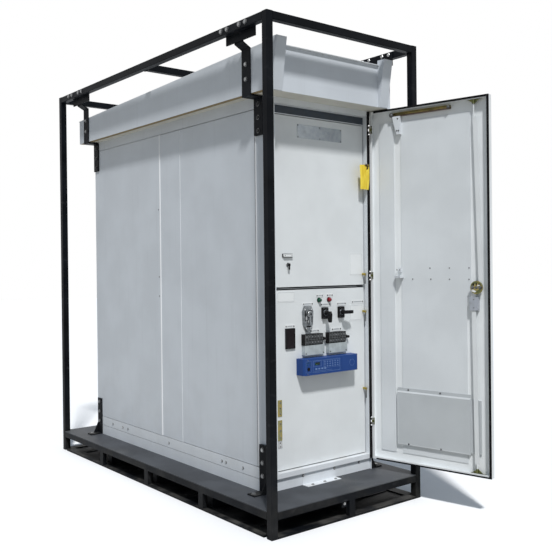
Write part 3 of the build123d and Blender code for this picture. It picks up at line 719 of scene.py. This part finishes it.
def interlock_details():
    """The interlock's collars in a bright metal that is a painted highlight, black rings and plates
    round it that are painted shade, its keyway and flange bolts.
    """
    housing, flange = 32, 20
    # The collars' bright metal is a painted highlight
    collar = Part("interlock_highlight_collar", "lower_door", "grey_plastic", INNER, "painted_highlight_metal")
    collar.ring(INTERLOCK_X, KEYWAY_Z, 15.5, 20, housing, 36)
    collar.ring(INTERLOCK_X, KEY_RING_Z, 8, 11, flange, 24)
    collar.plate(-100, -84, 1226, 1246, 3, flange, 22)
    collar.done()
    # Black rings and plates at the interlock's outline: painted shade
    shade_marks = Part("interlock_painted_shade", "lower_door", "black_plastic", INNER)
    shade_marks.ring(INTERLOCK_X, KEYWAY_Z, 20, 25, housing - 1, 33.5, 28)
    shade_marks.ring(INTERLOCK_X, KEY_RING_Z, 11, 15, flange - 1, 21)
    for x0, x1, z0, z1 in ((-106, -98, 1214, 1284), (-48, -41, 1206, 1284), (-92, -54, 1176, 1186)):
        shade_marks.plate(x0, x1, z0, z1, 3, flange - 1, 20.5)
    shade_marks.done()
    bolts = [(-101, 1290, flange), (-45, 1290, flange), (-92, 1168, flange), (-54, 1168, flange)]
    fix_screws("interlock_bolts", "lower_door", "galvanised", INNER, bolts, 5.5)
    keyway = 44
    slot = Part("interlock_key_slot", "lower_door", "black_plastic", INNER)
    slot.turned(INTERLOCK_X, KEYWAY_Z, [(7, keyway), (7, 44.6), (5, 45)], 16)
    slot.block(INTERLOCK_X - 1.5, INTERLOCK_X + 1.5, 1250, 1274, keyway, 45.4)
    slot.done()


def switch_details():
    """Generic position marks on the two switch plates, and their corner screws."""
    marks = Part("switch_marks", "lower_door", "plate_grey", INNER)
    screws = []
    near_r, far_r, half_wide = 20, 27, 0.8
    for x in SWITCHES_X:
        marks.ring(x, SWITCH_Z, 17.5, 18.6, SWITCH_OUT, SWITCH_OUT + 0.5, 32)
        for turn in (-45, 0, 45):
            angle = math.radians(90 + turn)
            near = (x + near_r * math.cos(angle), SWITCH_Z + near_r * math.sin(angle))
            far = (x + far_r * math.cos(angle), SWITCH_Z + far_r * math.sin(angle))
            wide = (-half_wide * math.sin(angle), half_wide * math.cos(angle))
            outline = [
                (near[0] + wide[0], near[1] + wide[1]),
                (near[0] - wide[0], near[1] - wide[1]),
                (far[0] - wide[0], far[1] - wide[1]),
                (far[0] + wide[0], far[1] + wide[1]),
            ]
            marks.prism(outline, SWITCH_OUT, SWITCH_OUT + 0.5)
        screws += [(x + side * 18, SWITCH_Z + z, SWITCH_OUT) for side in (-1, 1) for z in (-33, 31)]
    marks.done()
    fix_screws("switch_plate_screws", "lower_door", "galvanised", INNER, screws, 2.6, "dark_screw")


def test_block_details():
    """Terminal studs, dividers and cells on the two test blocks, and the covers' screws."""
    studs = Part("test_block_studs", "lower_door", "galvanised", INNER, "dull_stud")
    ribs = Part("test_block_ribs", "lower_door", "grey_plastic", INNER, "block_rib")
    shells = Part("test_block_shells", "lower_door", "black_plastic", INNER, "block_shell")
    low_z, high_z = 1063, 1128
    margin = 8
    for x0, x1 in TEST_BLOCKS_X:
        pitch = (x1 - x0 - 2 * margin) / STUDS
        for row in STUD_ROWS_Z:
            for step in range(STUDS):
                x = x0 + margin + pitch * (step + 0.5)
                studs.screw(x, row, 4.4, BLOCK_OUT + 2)
                shells.plate(x - 9, x + 9, row - 12, row + 12, 3, BLOCK_OUT, BLOCK_OUT + 2)
        for step in range(STUDS + 1):
            x = x0 + margin + pitch * step
            ribs.block(x - 0.8, x + 0.8, low_z, high_z, BLOCK_OUT, BLOCK_OUT + 3)
        ribs.block(x0 + 4, x1 - 4, 1094, 1096, BLOCK_OUT, BLOCK_OUT + 5)
        studs.ring(x1 + 30, 1093, 9.5, 12, 0, 3)
    studs.done()
    ribs.done()
    shells.done()
    covers = [(x, 1006, 32) for x in (-108, 42, 105, 250)]
    fix_screws("cover_thumbscrews", "lower_door", "galvanised", INNER, covers, 4.5, "dark_screw")


def relay_details():
    """The relay's front: printed frames, display, keys, lamps, port and corner screws."""
    top = RELAY_OUT
    frames = Part("relay_print", "lower_door", "relay_blue", INNER, "pale_print")
    frames.border(-90, 150, 886, 963, 1.3, top, top + 0.5)
    frames.block(-82, 78, 894, 895.5, top, top + 0.5)
    frames.border(-84, -17, 924, 960, 1.2, top, top + 0.6)
    frames.border(0, 146, 910, 958, 1.0, top, top + 0.5)
    frames.border(-150, -104, 890, 963, 1.0, top, top + 0.5)
    frames.ring(262, 925, 21, 22.2, top, top + 0.6, 40)
    frames.done()
    screen = Part("relay_display", "lower_door", "dark_window", INNER, "display")
    screen.plate(-72, -30, 934, 951, 2, top, top + 1.2)
    screen.done()

    keys = Part("relay_keys", "lower_door", "grey_plastic", INNER, "pale_print")
    first_key, key_pitch, keys_across = 14, 23, 6
    for row in (920, 934, 948):
        for step in range(keys_across):
            x = first_key + step * key_pitch
            keys.plate(x - 5.5, x + 5.5, row - 3, row + 3, 2, top, top + 1.6, 0.6)
    first_key, key_pitch, keys_across = -70, 26, 4
    for step in range(keys_across):
        x = first_key + step * key_pitch
        keys.plate(x, x + 16, 903, 913, 2, top, top + 2, 0.6)
    keys.done()

    lamps = Part("relay_lamps", "lower_door", "green_lens", INNER)
    for x, z in ((-140, 952), (-127, 952), (-114, 952), (-140, 938), (-114, 938)):
        lamps.rivet(x, z, 3.2, top)
    lamps.done()
    port_x, port_z = -127, 912
    port = Part("relay_port", "lower_door", "black_plastic", INNER)
    port.ring(port_x, port_z, 7, 11, top, top + 3)
    port.turned(port_x, port_z, [(7, top), (6, top + 0.8)], 20)
    port.done()
    corners = [(x, z, top) for x in (-132, 308) for z in (879, 969)]
    fix_screws("relay_corner_screws", "lower_door", "galvanised", INNER, corners, 3.4, "dark_screw")
    seam = Part("relay_seams", "lower_door", "relay_blue", INNER)
    seam.block(-164, 321, 975.5, 978, 8, 12)
    seam.block(-164, 321, 870, 872.5, 8, 12)
    seam.done()


def card_point(across, down):
    """A point of the tag, from 0 to 1 across and down: it narrows, tilts and curls."""
    left = 381 + 4 * down
    right = 470 - 10 * down**3
    x = left + (right - left) * across
    z = 2262 - 166 * down + 6 * across - 8 * across * down
    return x, z, TAG_OUT + 5 * math.sin(across * 2.6) + 3 * math.sin(down * 2.8)


def hanging_tag():
    """A yellow card tag on a hook near the upper door's free edge, with its eyelet and tie."""
    tag = Part("hanging_tag", "upper_door", "yellow_zinc", INNER, "tag_yellow")
    columns, rows = 6, 12
    half_thick = 0.35
    grid = {}
    for side, lift in ((0, half_thick), (1, -half_thick)):
        for row in range(rows + 1):
            for column in range(columns + 1):
                x, z, out = card_point(column / columns, row / rows)
                point = tag.at @ Vector((x, z, out + lift))
                grid[side, row, column] = tag.mesh.verts.new(point)
    for side in (0, 1):
        for row in range(rows):
            for column in range(columns):
                low, far = row + 1, column + 1
                corners = ((row, column), (row, far), (low, far), (low, column))
                tag.mesh.faces.new([grid[side, r, c] for r, c in corners])
    rim = [(0, c) for c in range(columns)] + [(r, columns) for r in range(rows)]
    rim += [(rows, c) for c in range(columns, 0, -1)] + [(r, 0) for r in range(rows, 0, -1)]
    for (r0, c0), (r1, c1) in zip(rim, rim[1:] + rim[:1]):
        quad = (grid[0, r0, c0], grid[0, r1, c1], grid[1, r1, c1], grid[1, r0, c0])
        tag.mesh.faces.new(quad)
    tag.done()

    eye = Part("tag_eyelet", "upper_door", "galvanised", INNER, "dark_screw")
    eye.ring(HOOK_X, HOOK_Z, 3.5, 7, TAG_OUT + 1, TAG_OUT + 7, 16)
    eye.done()
    foot_x = HOOK_X - 2
    wire = [(foot_x, HOOK_Z, 0), (foot_x, HOOK_Z, 38), (HOOK_X - 1, HOOK_Z + 2, 50)]
    wire += [(HOOK_X, HOOK_Z + 8, 57), (HOOK_X, HOOK_Z + 14, 55)]
    hook = Part("tag_hook", "upper_door", "galvanised", INNER, "dark_screw")
    hook.tube(wire, 2.2)
    hook.ring(foot_x, HOOK_Z, 2.2, 8, 0, 2, 16)
    hook.done()

    tie = Part("tag_tie", "upper_door", "black_plastic", INNER, "brown_cord")
    middle = (HOOK_X, HOOK_Z, TAG_OUT + 9)
    for x, z in ((424, 2262), (428, 2270), (466, 2270), (462, 2256), (440, 2232), (452, 2236)):
        bend = ((HOOK_X + x) / 2, (HOOK_Z + z) / 2 + 3, TAG_OUT + 11)
        tie.tube([middle, bend, (x, z, TAG_OUT + 7)], 2.6, 6)
    knot = [(3, TAG_OUT + 4), (7, TAG_OUT + 8), (6, TAG_OUT + 13), (2, TAG_OUT + 15)]
    tie.turned(HOOK_X, HOOK_Z, knot, 10)
    tie.done()


def mesh_islands(node):
    """The centre and size of each separate solid in a CAD node."""
    mesh = bmesh.new()
    mesh.from_mesh(nodes[node].data)
    bmesh.ops.remove_doubles(mesh, verts=mesh.verts, dist=0.00001)
    found, seen = [], set()
    for start in mesh.verts:
        if start in seen:
            continue
        seen.add(start)
        group, stack = [], [start]
        while stack:
            vert = stack.pop()
            group.append(vert.co.copy())
            for edge in vert.link_edges:
                other = edge.other_vert(vert)
                if other not in seen:
                    seen.add(other)
                    stack.append(other)
        low = Vector([min(co[i] for co in group) for i in range(3)])
        high = Vector([max(co[i] for co in group) for i in range(3)])
        found.append(((low + high) / 2, high - low))
    mesh.free()
    return found


# Heights, in metres, between which the hangers' strap bolts face inward
INWARD_BOLTS_Z = (2.96, 2.985)


def bolt_washers(name, node, reach, thick):
    """A washer under each bolt head of a CAD node, against what the bolt holds."""
    washers = Part(name, "fixed_plant", "galvanised", INNER, "dark_screw")
    for centre, size in mesh_islands(node):
        axis = min(range(3), key=lambda i: size[i])
        out = Vector((0, 0, 0))
        out[axis] = 1.0
        if axis == 0:
            inward = INWARD_BOLTS_Z[0] < centre.z < INWARD_BOLTS_Z[1]
            out *= math.copysign(1.0, centre.x) * (-1 if inward else 1)
        elif axis == 1:
            out *= math.copysign(1.0, centre.y)
        across = Vector((0, 1, 0)) if axis != 1 else Vector((1, 0, 0))
        washers.at = face(centre - out * size[axis] / 2, across, out.cross(across))
        head_r = max(size) / 2 / MM
        washers.ring(0, 0, head_r * 0.7, head_r + reach, 0, thick, 20)
    washers.done()


# Bolts above this height, in metres, hold the hangers to the cage's top rails
RAIL_BOLTS_Z = 3.0


def rail_nuts():
    """Nuts and bolt ends on the inner faces of the top side rails, behind the hanger bolts."""
    nuts = Part("rail_nuts", "fixed_plant", "galvanised", INNER)
    inner_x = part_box("cage_side_rails")[1].x - RAIL_WIDE * MM
    for centre, _ in mesh_islands("bracket_bolts"):
        if centre.z > RAIL_BOLTS_Z:
            side = math.copysign(1.0, centre.x)
            nuts.at = face((side * inner_x, centre.y, centre.z), (0, -side, 0), (0, 0, 1))
            nuts.ring(0, 0, 8, 16, 0, 2)
            nuts.turned(0, 0, [(13, 2), (13, 11), (11, 13), (7, 13), (7, 17), (5, 18)], 6)
    nuts.done()


def weld_beads():
    """Rippled weld beads in the inside corners where the cage's rails meet."""
    beads = Part("weld_beads", "fixed_plant", "black_paint", WORLD)
    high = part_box("cage_posts")[1]
    post_x, post_y, top = high.x / MM - RAIL_WIDE, high.y / MM - RAIL_WIDE, high.z / MM
    above, under = top - 4, top - RAIL_WIDE - 1
    reach = RAIL_WIDE - 3
    cross_rail_y = (-11, 39)
    paths = []
    for sx in (-1, 1):
        for sy in (-1, 1):
            x, y = sx * (post_x - 1.5), sy * (post_y - 1)
            paths.append([(x, y, above), (x, y, under), (x, sy * (post_y + reach), under)])
            x, y = sx * (post_x - 1), sy * (post_y - 1.5)
            paths.append([(x, y, above), (x, y, under), (sx * (post_x + reach), y, under)])
        x = sx * (post_x - 1.5)
        y0, y1 = cross_rail_y
        paths.append([(x, y0, above), (x, y0, under), (x, y1, under), (x, y1, above)])
    bead_r, ripple_long = 2.6, 4
    for path in paths:
        for start, end in zip(path, path[1:]):
            start, end = Vector(start), Vector(end)
            ripples = max(4, round((end - start).length / ripple_long))
            points = [start.lerp(end, step / ripples) for step in range(ripples + 1)]
            beads.tube(points, bead_r, ripple=0.22)
    beads.done()


# Side seams: y, how far the sheet in front and the sheet behind are set in,
# how far the fold stands proud of the one behind, and how wide it is
SEAMS = ((116, 3, 0, 1.5, 6), (-163, 5, 3, -1.3, 2), (-1052, 10, 5, 0, 6))
SEAM_SCREWS_Y, SEAM_SCREWS_Z = 134, (2006, 1502, 1358)


def side_edges():
    """Seam folds in a paler paint that is a painted highlight, screws at the side sheets' seams,
    and a tan strip of painted bounce light under the eaves.
    """
    # The folds' paler paint is a painted highlight on their edges
    folds = Part("seam_folds", "fixed_plant", "white_paint", WORLD, "fold_painted_highlight")
    for wall, out in ((SIDE_L, -1), (SIDE_R, 1)):
        for y, front_inset, rear_inset, proud, wide in SEAMS:
            front, rear = wall - out * front_inset, wall - out * rear_inset
            lip = rear + out * proud
            near, far = y - 1 - wide, y + wide
            outline = [(front - out, near), (front, near), (lip, y - 1)]
            outline += [(lip, y + wide / 2), (rear, far), (rear - out, far)]
            folds.prism(outline, *PANEL_SPAN)
    folds.done()
    screws = Part("seam_screws", "fixed_plant", "galvanised", WORLD, "dark_screw")
    for wall, out in ((SIDE_L, -1), (SIDE_R, 1)):
        screws.at = face((wall * MM, 0, 0), (0, out, 0), (0, 0, 1))
        for z in SEAM_SCREWS_Z:
            screws.screw(out * SEAM_SCREWS_Y, z, 5, 0)
    screws.done()
    strip = 34
    # A tan strip of painted bounce light along the soffit's edges
    bounce_strip = Part("eave_painted_bounce", "fixed_plant", "white_paint", WORLD, "eave_painted_bounce")
    for x0, x1 in ((ROOF_L, ROOF_L + strip), (ROOF_R - strip, ROOF_R)):
        bounce_strip.block(x0, x1, *ROOF_SPAN, SOFFIT_Z - 1.2, SOFFIT_Z)
    bounce_strip.done()


def skid_details():
    """A ribbed black sheet between the skid's ground strips, painted shade in its openings, and the
    ground lug's stud.
    """
    shade_sheet = Part("skid_painted_shade", "fixed_plant", "black_paint", WORLD)
    shade_sheet.plate(-SHADE_PAN_X, SHADE_PAN_X, -SHADE_PAN_Y, SHADE_PAN_Y, 8, 1, 4, 1)
    for y in range(-1200, 1201, 400):
        shade_sheet.plate(-560, 560, y - 20, y + 20, 8, 4, 9, 3)
    shade_sheet.done()
    lug = face((0, LUG_FACE_Y * MM, 0), (1, 0, 0), (0, 0, 1))
    stud = Part("ground_lug_stud", "fixed_plant", "galvanised", lug)
    stud.ring(*LUG_HOLE, 5, 9, 0, 1.5)
    stud.turned(*LUG_HOLE, [(6, 1.5), (6, 4), (5, 5.5), (2, 5.5)], 6)
    stud.done()


def latch_details():
    """Nuts, cam and slots on the latch hub, bright patches of painted highlight on it, guide
    screws, and the outside lever's fixings.
    """
    nuts = Part("hub_nuts", "latch_handle", "galvanised", DOOR, "dark_screw")
    pins = [(s, 7.5, PIN_OUT) for s in HUB_PINS_S]
    for s, r, base in pins + [(HUB_S, 10, HUB_OUT)]:
        flat = base + 1.6
        nuts.ring(s, HUB_Z, r * 0.6, r + 3.5, base, flat)
        crown = [(r * 0.86, base + 8.4), (r * 0.3, base + 8.4)]
        nuts.turned(s, HUB_Z, [(r, flat), (r, base + 7), *crown], 6)
        tip = [(r * 0.5, base + 8), (r * 0.5, base + 11), (r * 0.36, base + 12)]
        nuts.turned(s, HUB_Z, tip, 12)
    nuts.done()
    cam = [(729, 1419), (766, 1406), (800, 1424), (800, 1436)]
    cam += [(776, 1452), (758, 1452), (729, 1437)]
    rim = Part("hub_rim", "latch_handle", "yellow_zinc", DOOR)
    rim.ring(HUB_S, HUB_Z, HUB_R - 3, HUB_R, HUB_OUT, 2.5, 48)
    rim.prism(cam, HUB_OUT, 3.5, 1)
    rim.done()
    slots = Part("hub_slots", "latch_handle", "black_plastic", DOOR)
    for s, z, wide in ((746, 1446, 5), (766, 1449, 4), (785, 1445, 5), (798, 1428, 5)):
        slots.plate(s - wide, s + wide, z - 8, z + 8, 3, HUB_OUT, 4.2)
    slots.done()
    # Bright bare-metal patches on the hub: a painted highlight
    shine = Part("hub_painted_highlight", "latch_handle", "galvanised", DOOR, "painted_highlight_metal")
    highlight_outline = [(733, 1404), (756, 1396), (766, 1404), (748, 1414), (735, 1416)]
    shine.prism(highlight_outline, HUB_OUT, 4, 0.6)
    shine.prism([(772, 1436), (790, 1440), (788, 1446), (774, 1444)], 3.5, 5, 0.5)
    shine.done()

    places = []
    for s, edge, up in ((752, 2633, 1), (756, 234, -1)):
        places += [(s - 30, edge - up * 15, -14), (s + 28, edge - up * 15, -14)]
    fix_screws("guide_screws", "outer_door", "galvanised", DOOR, places, 5, "dark_screw")
    strap = [(745, z, -5) for z in (1300, 1352)]
    fix_screws("strap_screws", "outer_door", "galvanised", DOOR, strap, 5, "dark_screw")

    rose = [(-HUB_S + sx * 36, HUB_Z + sz * 45, 8) for sx in (-1, 1) for sz in (-1, 1)]
    fix_screws("rose_screws", "outer_door", "galvanised", DOOR_OUTSIDE, rose, 5)
    cap = Part("lever_nut", "latch_handle", "galvanised", DOOR_OUTSIDE)
    cap.ring(-HUB_S, HUB_Z, 8, 13, 22, 24)
    cap.turned(-HUB_S, HUB_Z, [(11, 22), (11, 26.5), (9.5, 28), (3, 28)], 6)
    cap.done()


FLOOR_BOUNCE = (0.45, 0.425, 0.375)


def stand():
    """A plain pale floor that keeps the shadow. It sends a duller light back to the object."""
    bpy.ops.mesh.primitive_plane_add(size=60, location=(0, 0, -0.001))
    floor = bpy.context.object
    floor.name = "floor"
    pale = Finish("floor_white", (0.92, 0.92, 0.92), roughness=0.9, Specular_IOR_Level=0.1)
    cloud = pale.noise(0.7, 3.0)
    tone = pale.mix(cloud, (0.90, 0.90, 0.90), (0.93, 0.93, 0.93))
    seen = pale.node("LightPath", {}, {}, "Is Camera Ray")
    mirrored = pale.node("LightPath", {}, {}, "Is Glossy Ray")
    pale.set("Base Color", pale.mix(seen + mirrored, FLOOR_BOUNCE, tone))
    floor.data.materials.append(pale.material)


FILL_COLOUR, FILL_STRENGTH = (0.76, 0.89, 1.06), 0.34
KEY_ENERGY, KEY_ANGLE = 3.25, math.radians(5)
TOWARD_KEY = Vector((-0.295, -0.49, 0.82))


def light():
    """A white world that lights the object with a soft cool fill, and one key light."""
    world = bpy.data.worlds.new("studio")
    bpy.context.scene.world = world
    world.use_nodes = True
    tree = world.node_tree
    fill = tree.nodes["Background"]
    fill.inputs["Color"].default_value = (*FILL_COLOUR, 1)
    fill.inputs["Strength"].default_value = FILL_STRENGTH
    plain = tree.nodes.new("ShaderNodeBackground")
    plain.inputs["Color"].default_value = (1, 1, 1, 1)
    rays = tree.nodes.new("ShaderNodeLightPath")
    seen = tree.nodes.new("ShaderNodeMath")
    seen.operation = "MAXIMUM"
    direct = tree.nodes.new("ShaderNodeMath")
    direct.operation = "MAXIMUM"
    tree.links.new(rays.outputs["Is Camera Ray"], seen.inputs[0])
    tree.links.new(rays.outputs["Is Glossy Ray"], seen.inputs[1])
    tree.links.new(seen.outputs[0], direct.inputs[0])
    tree.links.new(rays.outputs["Is Transmission Ray"], direct.inputs[1])
    mix = tree.nodes.new("ShaderNodeMixShader")
    tree.links.new(direct.outputs[0], mix.inputs[0])
    tree.links.new(fill.outputs[0], mix.inputs[1])
    tree.links.new(plain.outputs[0], mix.inputs[2])
    tree.links.new(mix.outputs[0], tree.nodes["World Output"].inputs[0])
    key = bpy.data.lights.new("key", "SUN")
    key.energy = KEY_ENERGY
    key.angle = KEY_ANGLE
    lamp = bpy.data.objects.new("key", key)
    bpy.context.scene.collection.objects.link(lamp)
    lamp.rotation_euler = TOWARD_KEY.to_track_quat("Z", "Y").to_euler()


def camera():
    """The camera at the photo's place, its centre shifted as the photo is cropped."""
    lens_mm = FOCAL_PX / IMAGE * SENSOR
    data = bpy.data.cameras.new("camera")
    data.sensor_width = SENSOR
    data.lens = lens_mm
    data.shift_x = 0.5 - CENTRE_PX[0] / IMAGE
    data.shift_y = CENTRE_PX[1] / IMAGE - 0.5
    eye = bpy.data.objects.new("camera", data)
    bpy.context.scene.collection.objects.link(eye)
    turn = Matrix.Rotation(-YAW, 4, "Z") @ Matrix.Rotation(math.pi / 2 + PITCH, 4, "X")
    eye.matrix_world = Matrix.Translation(CAMERA_AT) @ turn @ Matrix.Rotation(ROLL, 4, "Z")
    bpy.context.scene.camera = eye


dress_cad()
outer_door_details()
upper_door_details()
legend_plates()
lower_door_details()
interlock_details()
switch_details()
test_block_details()
relay_details()
hanging_tag()
latch_details()
side_edges()
skid_details()
weld_beads()
rail_nuts()
bolt_washers("bolt_washers", "bracket_bolts", 3.5, 2)
bolt_washers("panel_washers", "panel_bolts", 2.5, 1)
stand()
light()
camera()

scene = bpy.context.scene
scene.view_settings.view_transform = "Standard"
